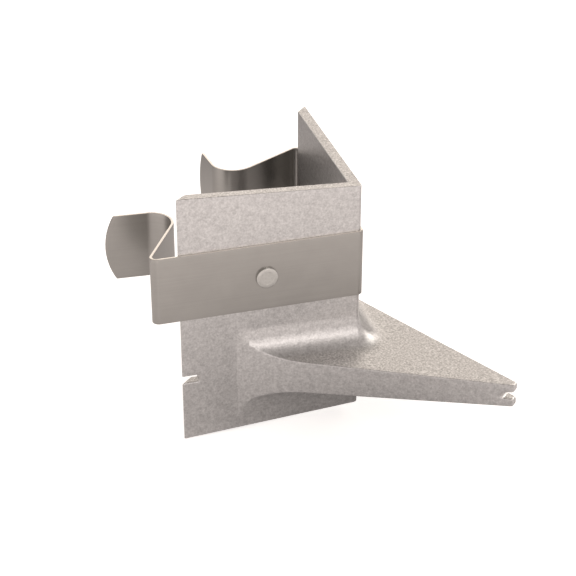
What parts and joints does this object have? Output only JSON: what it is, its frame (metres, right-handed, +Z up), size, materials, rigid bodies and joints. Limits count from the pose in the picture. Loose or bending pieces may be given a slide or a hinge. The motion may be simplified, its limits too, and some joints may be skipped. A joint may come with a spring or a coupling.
{
  "type": "corner line bracket",
  "caption": "Cast corner bracket that a spring band clips onto a square pole, with slots for builders' line in its nose and free edges.",
  "frame": {"origin": "on the pole's corner edge, where the two inner wall faces meet, level with the three line slots", "axes": "+Z up along the pole; the left wall runs along -X and its inner face looks along +Y; the right wall runs along +Y and its inner face looks along -X; the nose points along (+X, -Y)"},
  "size_m": [0.1106, 0.1106, 0.0826],
  "materials": {
    "cast_metal": "sand-textured casting, light grey with a warm cast",
    "spring_strip": "satin rolled spring steel strip",
    "rivet_metal": "plain flat-headed rivet, satin"
  },
  "bodies": {
    "root": {"cast_body": "cast_metal", "spring_band": "spring_strip", "rivet_left": "rivet_metal", "rivet_right": "rivet_metal"},
    "leaf_left": {"spring_leaf_left": "spring_strip"},
    "leaf_right": {"spring_leaf_right": "spring_strip"}
  },
  "joints": [
    {"name": "leaf_left_flex", "type": "hinge", "parent": "root", "child": "leaf_left", "pos_m": [-0.03485, -0.0035, 0.0322], "axis": [0, 0, 1], "range_deg": [0, 25], "stiffness_Nm_per_rad": 5},
    {"name": "leaf_right_flex", "type": "hinge", "parent": "root", "child": "leaf_right", "pos_m": [0.0035, 0.03485, 0.0322], "axis": [0, 0, -1], "range_deg": [0, 25], "stiffness_Nm_per_rad": 5}
  ]
}
